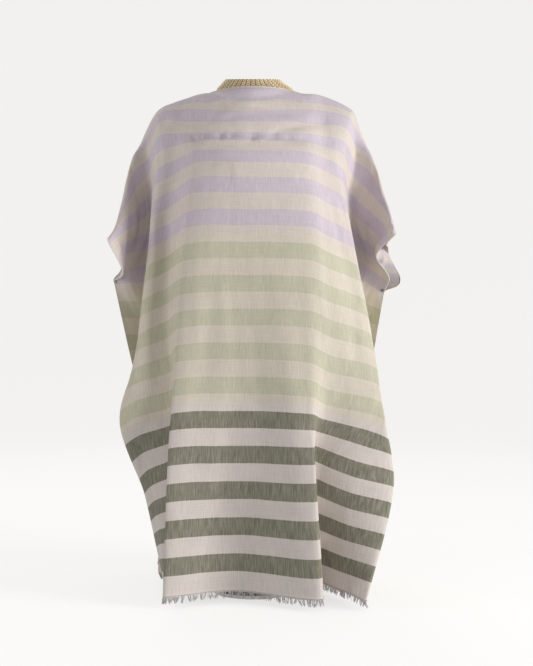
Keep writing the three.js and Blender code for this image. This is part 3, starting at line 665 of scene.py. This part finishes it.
def straw_material(form):
    """Twisted straw cord in upright ribs, with painted shade: brown in the gaps between the cords and paler
    on the crowns.
    """
    material, tree, shader = new_material("Twisted straw", 0.75)
    place = cut_place(tree)
    # Painted shade: the relief kept in the third number of the place darkens the gaps between the cords and
    # between the lid coils towards the gap shade colour, and leaves the crowns pale; the fibre noise adds
    # grain
    crown = remap(tree, separated(tree, place)["Z"], 0.0, 0.001)
    fibre = noise(tree, stretched(tree, place, 900, 260), 1.0, 3.0, 0.6)
    patch = noise(tree, stretched(tree, place, 60, 30), 1.0, 2.0)
    pale = mix_colour(tree, remap(tree, patch, 0.35, 0.65), form.straw, form.straw_pale)
    shade_and_fibre = remap(tree, added(tree, crown, times(tree, fibre, 0.35)), 0.28, 0.74)
    colour = mix_colour(tree, shade_and_fibre, form.straw_gap_shade, pale)
    link(tree, colour, shader.inputs["Base Color"])
    link(tree, remap(tree, fibre, 0.3, 0.7, 0.62, 0.85), shader.inputs["Roughness"])
    bump(tree, shader, fibre, 0.4, 0.0005)
    return material


def wear_group():
    """Masks of a worn metal stand: a fine upright grain, smudges and rubbed rims."""
    group = bpy.data.node_groups.get("Metal wear")
    if group:
        return group
    group, start, end = new_group(
        "Metal wear",
        [("Place", "NodeSocketVector"), ("Grain scale", "NodeSocketFloat"),
         ("Pointiness", "NodeSocketFloat")],
        [("Grain", "NodeSocketFloat"), ("Smudge", "NodeSocketFloat"), ("Rim", "NodeSocketFloat")])
    place = start.outputs["Place"]
    grain = noise(group, stretched(group, place, 1, 1, 0.04), start.outputs["Grain scale"], 3.0)
    smudge = noise(group, place, 18.0, 3.0)
    rim = remap(group, start.outputs["Pointiness"], 0.52, 0.60)
    for name, value in (("Grain", grain), ("Smudge", smudge), ("Rim", rim)):
        link(group, value, end.inputs[name])
    return group


def metal_material(name, colour, roughness, metallic, grain_scale, wear):
    """Satin metal with a fine upright grain and lighter wear near the rims."""
    material, tree, shader = new_material(name, roughness, metallic)
    coordinates = tree.nodes.new("ShaderNodeTexCoord")
    geometry = tree.nodes.new("ShaderNodeNewGeometry")
    masks = tree.nodes.new("ShaderNodeGroup")
    masks.node_tree = wear_group()
    masks.inputs["Grain scale"].default_value = grain_scale
    link(tree, coordinates.outputs["Object"], masks.inputs["Place"])
    link(tree, geometry.outputs["Pointiness"], masks.inputs["Pointiness"])
    line, smudge, rim = masks.outputs
    dull = mix_colour(tree, remap(tree, smudge, 0.35, 0.65), colour, tuple(c * 0.86 for c in colour))
    bright = tuple(min(1, c * 1.25) for c in colour)
    tone = mix_colour(tree, times(tree, rim, wear), dull, bright)
    link(tree, tone, shader.inputs["Base Color"])
    rough = remap(tree, line, 0.3, 0.7, roughness - 0.06, roughness + 0.06)
    rough = added(tree, rough, times(tree, smudge, 0.08))
    link(tree, rough, shader.inputs["Roughness"])
    bump(tree, shader, line, 0.12, 0.0002)
    return material


def cached(name, build, *values):
    """A material by name, built the first time that it is asked for."""
    return bpy.data.materials.get(name) or build(*values)


def colour_property(name, description, default):
    return bpy.props.FloatVectorProperty(name=name, description=description, subtype="COLOR", size=3,
                                         min=0, max=1, default=default)


def length_property(name, description, default):
    return bpy.props.FloatProperty(name=name, description=description, unit="LENGTH", default=default,
                                   precision=4)


def number_property(name, description, default, **limits):
    return bpy.props.FloatProperty(name=name, description=description, default=default, **limits)


def count_property(name, description, default, least, most):
    return bpy.props.IntProperty(name=name, description=description, default=default, min=least, max=most)


class PonchoCloth(bpy.types.PropertyGroup):
    """Sizes and colours of the woven panels."""

    wall: length_property("Wall", "Thickness of the cloth", 0.0010)
    first_stripe: length_property("First stripe", "Length of cloth above the first full stripe", 0.0130)
    stripes_from: length_property("Stripes from", "Length of cream cloth beside the shoulder fold", 0.0030)
    stripe_pitch: length_property("Stripe pitch", "Distance from one stripe to the next", 0.0670)
    stripe_width: length_property("Stripe width", "Width of a stripe", 0.0335)
    sage_from: length_property("Sage from", "Where lavender stripes end and sage ones begin", 0.3980)
    olive_from: length_property("Olive from", "Where sage stripes end and olive ones begin", 0.7330)
    last_stripe: length_property("Stripes end", "Where the plain hem begins", 1.0700)
    lavender: colour_property("Lavender", "Upper stripes", (0.655, 0.575, 0.675))
    sage: colour_property("Sage", "Middle stripes", (0.60, 0.59, 0.44))
    olive: colour_property("Olive", "Lower stripes", (0.160, 0.160, 0.098))
    cream: colour_property("Cream", "Ground between the upper stripes", (0.755, 0.675, 0.62))
    warm_cream: colour_property("Warm cream", "Ground between the middle stripes", (0.76, 0.69, 0.59))
    off_white: colour_property("Off-white", "Ground between the lower stripes", (0.76, 0.69, 0.65))
    creases: number_property("Creases", "Height of the small creases", 1.0, min=0, max=2)


class PonchoTrim(bpy.types.PropertyGroup):
    """Sizes and colours of the edges, stitching and fringe."""

    hem_width: length_property("Neck hem width", "Width of the turned neck edge", 0.0090)
    edge_radius: length_property("Edge thickness", "Half thickness of the armhole selvedge", 0.0011)
    stitch_pitch: length_property("Stitch pitch", "Distance from one stitch to the next", 0.0034)
    yarn_length: length_property("Fringe length", "Length of the loose yarns below the hem", 0.0135)
    yarn_radius: length_property("Yarn thickness", "Half thickness of a loose yarn", 0.00060)
    tufts: count_property("Tufts", "Tufts along one hem", 84, 10, 200)
    yarns: count_property("Yarns", "Yarns in a tuft", 11, 1, 16)
    edge_colour: colour_property("Edge", "Turned edges and selvedges", (0.80, 0.75, 0.66))
    thread_colour: colour_property("Thread", "Sewing thread", (0.62, 0.56, 0.55))
    tack_colour: colour_property("Tack", "Thread of the armhole tacks", (0.30, 0.23, 0.26))
    yarn_colour: colour_property("Fringe", "Loose yarns", (0.78, 0.75, 0.73))


class PonchoForm(bpy.types.PropertyGroup):
    """Sizes and colours of the dress form and its stand."""

    ribs: count_property("Ribs", "Upright straw ribs round the form", 42, 12, 80)
    rib_depth: length_property("Rib depth", "Depth of the gaps between ribs", 0.0018)
    twist_pitch: length_property("Twist pitch", "Height of one twist of the straw", 0.0045)
    straw: colour_property("Straw", "Straw cord", (0.82, 0.62, 0.34))
    straw_pale: colour_property("Pale straw", "Sun-bleached straw", (0.98, 0.86, 0.62))
    # Painted shade: the dark brown laid into the gaps between the straw cords and the lid coils
    straw_gap_shade: colour_property("Straw gap shade", "Painted shade in the gaps between the cords", (0.20, 0.12, 0.05))
    pole: colour_property("Pole", "Satin steel pole", (0.55, 0.55, 0.54))
    base: colour_property("Base", "Grey painted base", (0.64, 0.63, 0.61))


class PonchoStage(bpy.types.PropertyGroup):
    """Camera, lights, floor and backdrop."""

    distance: length_property("Camera distance", "From the camera to the pole", 2.5)
    eye_height: length_property("Camera height", "Height of the level camera", 0.529)
    focal_pixels: number_property("Focal length", "Focal length in pixels of the picture", 1219.5, min=1)
    floor: colour_property("Floor", "Plain pale floor and backdrop", (0.30, 0.298, 0.294))
    floor_glow: colour_property("Floor glow", "Light that the pale backdrop gives off", (0.715, 0.708, 0.696))
    key_power: number_property("Key light", "Large soft light at the front right", 86, unit="POWER")
    fill_power: number_property("Fill light", "Soft light at the front left", 24, unit="POWER")
    back_power: number_property("Back light", "Soft light behind and above", 14, unit="POWER")
    room_light: number_property("Room light", "Strength of the even light from all round", 0.37, min=0)


def stripe_places(side, across, down):
    """Places on the flat cloth for the stripes. The cloth is pulled forward a little over both shoulders."""
    places = np.column_stack([across, down, np.zeros(len(across))])
    if side == FRONT:
        share = np.interp(np.abs(across), SHOULDER_PULL_REACH, (0, 1, 1, 0))
        share = 0.5 - 0.5 * np.cos(np.pi * share)
        places[:, 1] -= SHOULDER_PULL * share * np.interp(down, SHOULDER_PULL_FADE, (1, 0))
    return places


def build_panel(name, node, side, cloth, material):
    """One panel as a thin shell between its outer and inner faces."""
    across_line = stations([(-560, 22), (-465, 22), (-380, 18), (-325, 18), (-280, 18), (-220, 16),
                            (-165, 34), (165, 16), (220, 18), (280, 18), (325, 18), (380, 22),
                            (465, 22), (560, 0)])
    down_line = stations([(0, 12), (26, 14), (120, 26), (275, 16), (375, 50), (1040, 6), (1090, 0)])
    columns, rows = len(across_line), len(down_line)
    across, down = (grid.ravel() for grid in np.meshgrid(across_line, down_line))
    outer, normal = on_cloth(side, across, down, 0.0, cloth.creases)
    inner = outer - normal * cloth.wall / MM
    count = len(outer)
    facing = side == BACK
    faces = grid_faces(rows, columns, flip=not facing)
    faces += [tuple(count + k for k in quad) for quad in grid_faces(rows, columns, flip=facing)]
    rim = list(range(columns))
    rim += [j * columns + columns - 1 for j in range(1, rows)]
    rim += [count - 1 - i for i in range(1, columns)]
    rim += [(rows - 1 - j) * columns for j in range(1, rows - 1)]
    for a, b in zip(rim, rim[1:] + rim[:1]):
        quad = (b, a, a + count, b + count)
        faces.append(quad[::-1] if facing else quad)
    places = stripe_places(side, across, down)
    return make_piece(name, np.vstack([outer, inner]), faces, material,
                      np.vstack([places, places]), (node,))


class PONCHO_OT_panels(bpy.types.Operator):
    """Hang the striped front and back panels in their folds"""

    bl_idname = "poncho.panels"
    bl_label = "Front and back panels"

    def execute(self, context):
        cloth = context.scene.poncho_cloth
        material = cached("Striped woven cotton", striped_cloth, cloth)
        for name, side in (("front", FRONT), ("back", BACK)):
            piece = build_panel(f"{name}_cloth", f"{name}_panel", side, cloth, material)
        return {"FINISHED"}


class PONCHO_OT_edges(bpy.types.Operator):
    """Turn the neck edges in and firm up the armhole selvedges"""

    bl_idname = "poncho.edges"
    bl_label = "Neck and armhole edges"

    def execute(self, context):
        trim = context.scene.poncho_trim
        cloth = context.scene.poncho_cloth
        material = cached("Cream turned edge", plain_cotton, "Cream turned edge", trim.edge_colour, 0.12)
        wall = cloth.wall / MM
        depth = trim.hem_width / MM
        # How far down the cloth and how high above it, from the outside over the edge to the inside
        profile = [(2.4, 0.30), (1.2, 0.42), (0.4, 0.46), (0.0, 0.10), (0.0, -wall / 2), (0.0, -wall - 0.1),
                   (0.4, -wall - 0.5), (2.0, -wall - 0.55), (depth / 2, -wall - 0.6), (depth, -wall - 0.5),
                   (depth, -wall - 0.15)]
        across = np.linspace(-SLIT_HALF + 2, SLIT_HALF - 2, 121)
        for name, side in (("front", FRONT), ("back", BACK)):
            rows = []
            for k, (down, rise) in enumerate(profile):
                points, _ = on_cloth(side, across, np.full(len(across), down), rise, cloth.creases)
                if down == 0:
                    points[:, 2] += 0.35 - 0.1 * abs(k - 4)
                rows.append(points)
            places = [(a, down, 0) for down, _ in profile for a in across]
            faces = grid_faces(len(profile), len(across), flip=side == BACK)
            make_piece(f"neck_edge_{name}", np.vstack(rows), faces, material, places,
                       (f"neck_hem_{name}",))
        edges = Strands()
        radius = trim.edge_radius / MM
        for side in (FRONT, BACK):
            for end in (-HALF_WIDTH, HALF_WIDTH):
                down = np.linspace(0.5, ARMHOLE_DEPTH, 90)
                path, _ = on_cloth(side, np.full(len(down), float(end)), down, -wall / 2, cloth.creases)
                edges.tube(path, np.full(len(down), radius), 8, (end, 0))
        edges.piece("armhole_selvedges", "hem_cloth", material)
        return {"FINISHED"}


def stitch_line(strands, side, places, rise, length, cloth, along):
    """Adds one short rounded stitch at each place across and down the cloth, lying along a direction."""
    middle = np.asarray(places, float)
    reach = np.asarray(along, float) * length / 2
    rings = [on_cloth(side, middle[:, 0] + reach[0] * s, middle[:, 1] + reach[1] * s, rise + lift,
                      cloth.creases)[0] for s, lift in STITCH_SHAPE]
    for k, place in enumerate(middle):
        strands.tube([ring[k] for ring in rings], STITCH_RADII, 5, place)


class PONCHO_OT_stitching(bpy.types.Operator):
    """Sew the neck edge and the side seams, and tack the foot of each armhole"""

    bl_idname = "poncho.stitching"
    bl_label = "Stitching and tacks"

    def execute(self, context):
        trim = context.scene.poncho_trim
        cloth = context.scene.poncho_cloth
        thread = cached("Sewing thread", plain_cotton, "Sewing thread", trim.thread_colour, 0.25)
        tack_thread = cached("Tack thread", plain_cotton, "Tack thread", trim.tack_colour, 0.3)
        pitch = trim.stitch_pitch / MM
        length = 0.66 * pitch
        for name, side in (("front", FRONT), ("back", BACK)):
            row = Strands()
            across = np.arange(-SLIT_HALF + 8, SLIT_HALF - 7, pitch)
            neck_row = [(a, trim.hem_width / MM - 1.5) for a in across]
            stitch_line(row, side, neck_row, 0.15, length, cloth, (1, 0))
            down = np.arange(ARMHOLE_DEPTH + 12, PANEL_LENGTH - 6, pitch)
            for end in (-1, 1):
                seam_row = [(end * (HALF_WIDTH - 7), d) for d in down]
                stitch_line(row, side, seam_row, 0.15, length, cloth, (0, 1))
            row.piece(f"stitches_{name}", "hem_cloth", thread)
            foot = Strands()
            across = np.arange(-HALF_WIDTH + 3, HALF_WIDTH - 2, pitch)
            foot_row = [(a, PANEL_LENGTH - 2.2) for a in across]
            stitch_line(foot, side, foot_row, 0.1, 0.8 * pitch, cloth, (1, 0.15))
            foot.piece(f"hem_stitches_{name}", "hem_cloth", tack_thread)
        tacks = Strands()
        for side in (FRONT, BACK):
            for end in (-1, 1):
                for k in range(TACK_STITCHES):
                    middle = [(end * (HALF_WIDTH - 4 - 4.5 * k), ARMHOLE_DEPTH - 2 + 1.5 * k)]
                    for lean in (0.8, -0.8):
                        stitch_line(tacks, side, middle, 0.25, TACK_LENGTH, cloth, (0.75, lean))
        tacks.piece("armhole_tacks", "hem_cloth", tack_thread)
        return {"FINISHED"}


class PONCHO_OT_fringe(bpy.types.Operator):
    """Loosen the yarns below both hems"""

    bl_idname = "poncho.fringe"
    bl_label = "Hem fringe"

    def execute(self, context):
        trim = context.scene.poncho_trim
        cloth = context.scene.poncho_cloth
        material = cached("Loose fringe yarn", plain_cotton, "Loose fringe yarn", trim.yarn_colour, 0.62)
        rng = np.random.default_rng(7)
        radius = trim.yarn_radius / MM
        wall = cloth.wall / MM
        for name, side in (("front", FRONT), ("back", BACK)):
            yarns = Strands()
            pitch = (2 * HALF_WIDTH - 4) / trim.tufts
            centres = np.repeat(-HALF_WIDTH + 2 + pitch * (np.arange(trim.tufts) + 0.5), trim.yarns)
            leans = np.repeat(rng.normal(0, TUFT_LEAN, trim.tufts), trim.yarns)
            count = len(centres)
            across = np.clip(centres + rng.uniform(-0.5, 0.5, count) * pitch, -HALF_WIDTH + 1, HALF_WIDTH - 1)
            low = np.full(count, PANEL_LENGTH - 1.5)
            inward = -4 * np.sign(across)
            roots, out = on_cloth(side, across, low, -wall / 2, cloth.creases)
            nearby, _ = on_cloth(side, across + inward, low, -wall / 2, cloth.creases)
            along = (nearby - roots) * np.sign(inward)[:, None]
            along[:, 2] = 0
            along /= np.maximum(np.linalg.norm(along, axis=1), 1e-9)[:, None]
            fall = trim.yarn_length / MM * rng.uniform(0.72, 1.08, count)
            sway = (centres - across) * 0.5 + leans + rng.normal(0, YARN_SWAY, count)
            kick = rng.normal(0, YARN_KICK, count)
            curl = rng.normal(0, YARN_CURL, count)
            thick = radius * rng.uniform(0.75, 1.2, count)
            for k in range(count):
                path = []
                for t in YARN_BENDS:
                    aside = along[k] * (sway[k] * t ** 1.5 + curl[k] * math.sin(t * 5))
                    sunk = np.array([0, 0, -fall[k] * t - 0.4])
                    path.append(roots[k] + aside + out[k] * kick[k] * t + sunk)
                yarns.tube(path, thick[k] * YARN_TAPER, 4, (across[k], 0))
            yarns.piece(f"{name}_fringe_yarns", "fringe_yarn", material, (f"{name}_fringe",))
        return {"FINISHED"}


def straw_height(turn, height, twist):
    """Relief of the straw from 0 in the gaps to 1 on the crowns: cords in a V in each upright rib."""
    place = np.abs((turn % 1.0) - 0.5) * 2
    rib = 1 - place ** 4
    groove = 1 - 0.35 * np.exp(-(place / 0.16) ** 2)
    cord = 0.5 + 0.5 * np.cos(2 * np.pi * (height / twist - place * 0.9))
    return rib * groove * (0.15 + 0.85 * (cord if height >= CORDS_FROM else PLAIN_CORD))


def straw_rows(form):
    """Rows of the straw cover up the form: heights, turns in ribs, points, and places in its texture."""
    sections = np.asarray(TORSO_SECTIONS, float)
    heights = stations([(400, 3), (404, 4), (440, 44), (951, 8), (CORDS_FROM, 34), (1023, 50), (1050, 0)])
    around = form.ribs * RIB_POINTS
    turn = np.arange(around) * form.ribs / around
    angle = 2 * np.pi * np.arange(around) / around
    reach = curve_through(sections[:, 0], np.column_stack([sections[:, 1:], sections[:, 1]]), heights)
    points, places = [], []
    for z, (left, right, front, back, _) in zip(heights, reach):
        relief = straw_height(turn, z, form.twist_pitch / MM)
        sink = form.rib_depth / MM * (1 - relief)
        x = np.cos(angle) * (np.where(np.cos(angle) < 0, left, right) * COVER_SCALE - sink)
        y = np.sin(angle) * (np.where(np.sin(angle) < 0, front, back) * COVER_SCALE - sink)
        tilt = NECK_TILT * np.clip((z - NECK_TILT_FROM) / (heights[-1] - NECK_TILT_FROM), 0, 1)
        points.append(np.column_stack([x, TORSO_CENTRE_Y + y, z + tilt * y]))
        # The relief is kept as the third number of each place, where the straw material paints shade from it
        # into the gaps
        places.append(np.column_stack([turn * RIB_PLACE, np.full(around, z), relief]))
    return heights, turn, points, places


def straw_lid(form, edge, z, turn, sign):
    """Rings of a coiled lid inside an edge of the cover, which faces up where sign is 1, and their places."""
    centre = np.array([0, TORSO_CENTRE_Y, z])
    points, places = [], []
    for k in range(1, LID_RINGS + 1):
        share = 1 - k / LID_RINGS
        coil = 0.5 - 0.5 * np.cos(2 * np.pi * (k / 2 + turn / form.ribs))
        ring = centre + (edge - centre) * max(share, LID_HOLE)
        ring[:, 2] = z + (edge[:, 2] - z) * share - sign * form.rib_depth / MM * 0.6 * (1 - coil)
        points.append(ring)
        deep = np.full(len(turn), z + RIB_PLACE * k)
        # The coil share is kept as the third number of each place, where the straw material paints shade from
        # it into the gaps between the coils
        places.append(np.column_stack([turn * RIB_PLACE * share, deep, coil]))
    return points, places


class PONCHO_OT_form(bpy.types.Operator):
    """Cover the dress form with ribbed straw and finish its pole and base"""

    bl_idname = "poncho.form"
    bl_label = "Dress form and stand"

    def execute(self, context):
        form = context.scene.poncho_form
        heights, turn, points, places = straw_rows(form)
        around = len(turn)
        faces = grid_faces(len(heights), around, wrap=True)
        for row, sign in ((0, -1), (len(heights) - 1, 1)):
            rings = [row * around] + [(len(points) + k) * around for k in range(LID_RINGS)]
            lid_points, lid_places = straw_lid(form, points[row], heights[row], turn, sign)
            points += lid_points
            places += lid_places
            for a, b in zip(rings, rings[1:]):
                for j in range(around):
                    k = (j + 1) % around
                    quad = (a + j, a + k, b + k, b + j)
                    faces.append(quad if sign > 0 else quad[::-1])
        material = cached("Twisted straw", straw_material, form)
        make_piece("straw_cover", np.vstack(points), faces, material, np.vstack(places),
                   ("form_torso",))
        steel = cached("Satin steel", metal_material, "Satin steel", tuple(form.pole), 0.34, 1.0, 900, 0.25)
        paint = cached("Grey satin paint", metal_material, "Grey satin paint", tuple(form.base),
                       0.42, 0.35, 260, 0.6)
        for node, finish in (("form_pole", steel), ("form_base", paint)):
            piece = bpy.data.objects[node]
            for slot in piece.material_slots:
                slot.material = finish
        return {"FINISHED"}


def area_light(name, place, target, size, power, colour):
    """A soft square light that looks at a target."""
    data = bpy.data.lights.new(name, "AREA")
    data.size = size
    data.energy = power
    data.color = colour
    light = bpy.data.objects.new(name, data)
    light.location = place
    direction = np.array(target, float) - np.array(place, float)
    yaw = math.atan2(-direction[0], direction[1])
    pitch = math.atan2(math.hypot(direction[0], direction[1]), -direction[2])
    light.rotation_euler = (pitch, 0, yaw)
    bpy.context.collection.objects.link(light)


def build_backdrop(stage):
    """A round sheet of pale paper: a flat floor that bends up into a wall."""
    turn = np.linspace(0, math.pi / 2, BACKDROP_STEPS)
    bend = BACKDROP_FLAT + BACKDROP_BEND * np.sin(turn)
    reach = np.concatenate([BACKDROP_MIDDLE, bend, [BACKDROP_FLAT + BACKDROP_BEND]])
    rise = np.concatenate([[0.0, 0.0], BACKDROP_BEND * (1 - np.cos(turn)), [BACKDROP_HEIGHT]])
    around = 2 * math.pi * np.arange(BACKDROP_SIDES) / BACKDROP_SIDES
    points = [(r * math.cos(a), r * math.sin(a), z) for r, z in zip(reach, rise) for a in around]
    mesh = bpy.data.meshes.new("backdrop")
    mesh.from_pydata(points, [], grid_faces(len(reach), BACKDROP_SIDES, wrap=True, flip=True))
    mesh.polygons.foreach_set("use_smooth", [True] * len(mesh.polygons))
    material, tree, shader = new_material("Pale paper", 0.95)
    coordinates = tree.nodes.new("ShaderNodeTexCoord")
    grain = noise(tree, coordinates.outputs["Object"], 60.0, 3.0)
    paler = tuple(min(1, c * 1.01) for c in stage.floor)
    link(tree, mix_colour(tree, grain, tuple(stage.floor), paler), shader.inputs["Base Color"])
    shader.inputs["Emission Color"].default_value = (*stage.floor_glow, 1)
    shader.inputs["Emission Strength"].default_value = 1.0
    mesh.materials.append(material)
    floor = bpy.data.objects.new("backdrop", mesh)
    floor.visible_diffuse = False
    bpy.context.collection.objects.link(floor)


def place_camera(scene, stage):
    """A level camera in front of the pole."""
    data = bpy.data.cameras.new("camera")
    data.sensor_width = SENSOR
    data.lens = stage.focal_pixels * SENSOR / PICTURE_HEIGHT
    data.shift_x = (PICTURE_WIDTH / 2 - POLE_PIXEL) / PICTURE_HEIGHT
    camera = bpy.data.objects.new("camera", data)
    camera.location = (0, -stage.distance, stage.eye_height)
    camera.rotation_euler = (math.pi / 2, 0, 0)
    bpy.context.collection.objects.link(camera)
    scene.camera = camera


class PONCHO_OT_stage(bpy.types.Operator):
    """Set up the pale floor and backdrop, the soft lights and the camera"""

    bl_idname = "poncho.stage"
    bl_label = "Stage, lights and camera"

    def execute(self, context):
        scene = context.scene
        stage = scene.poncho_stage
        build_backdrop(stage)
        powers = (stage.key_power, stage.fill_power, stage.back_power)
        for (name, place, target, size, colour), power in zip(LIGHTS, powers):
            area_light(name, place, target, size, power, colour)
        scene.view_settings.view_transform = "Standard"
        world = scene.world or bpy.data.worlds.new("studio")
        scene.world = world
        world.use_nodes = True
        background = world.node_tree.nodes["Background"]
        background.inputs["Color"].default_value = (1.0, 0.99, 0.975, 1)
        background.inputs["Strength"].default_value = stage.room_light
        place_camera(scene, stage)
        return {"FINISHED"}


class VIEW3D_PT_poncho(bpy.types.Panel):
    """Buttons that build the poncho piece by piece"""

    bl_label = "Beach poncho"
    bl_space_type = "VIEW_3D"
    bl_region_type = "UI"
    bl_category = "Poncho"

    def draw(self, context):
        for operator in OPERATORS:
            self.layout.operator(operator.bl_idname)


OPERATORS = (PONCHO_OT_form, PONCHO_OT_panels, PONCHO_OT_edges, PONCHO_OT_stitching, PONCHO_OT_fringe,
             PONCHO_OT_stage)
SETTINGS = (("poncho_cloth", PonchoCloth), ("poncho_trim", PonchoTrim), ("poncho_form", PonchoForm),
            ("poncho_stage", PonchoStage))


def register():
    for name, group in SETTINGS:
        bpy.utils.register_class(group)
        setattr(bpy.types.Scene, name, bpy.props.PointerProperty(type=group))
    for part in (*OPERATORS, VIEW3D_PT_poncho):
        bpy.utils.register_class(part)


def unregister():
    for part in (VIEW3D_PT_poncho, *OPERATORS[::-1]):
        bpy.utils.unregister_class(part)
    for name, group in SETTINGS[::-1]:
        delattr(bpy.types.Scene, name)
        bpy.utils.unregister_class(group)


def main():
    register()
    bpy.ops.poncho.form()
    bpy.ops.poncho.panels()
    bpy.ops.poncho.edges()
    bpy.ops.poncho.stitching()
    bpy.ops.poncho.fringe()
    bpy.ops.poncho.stage()


if __name__ == "__main__":
    main()
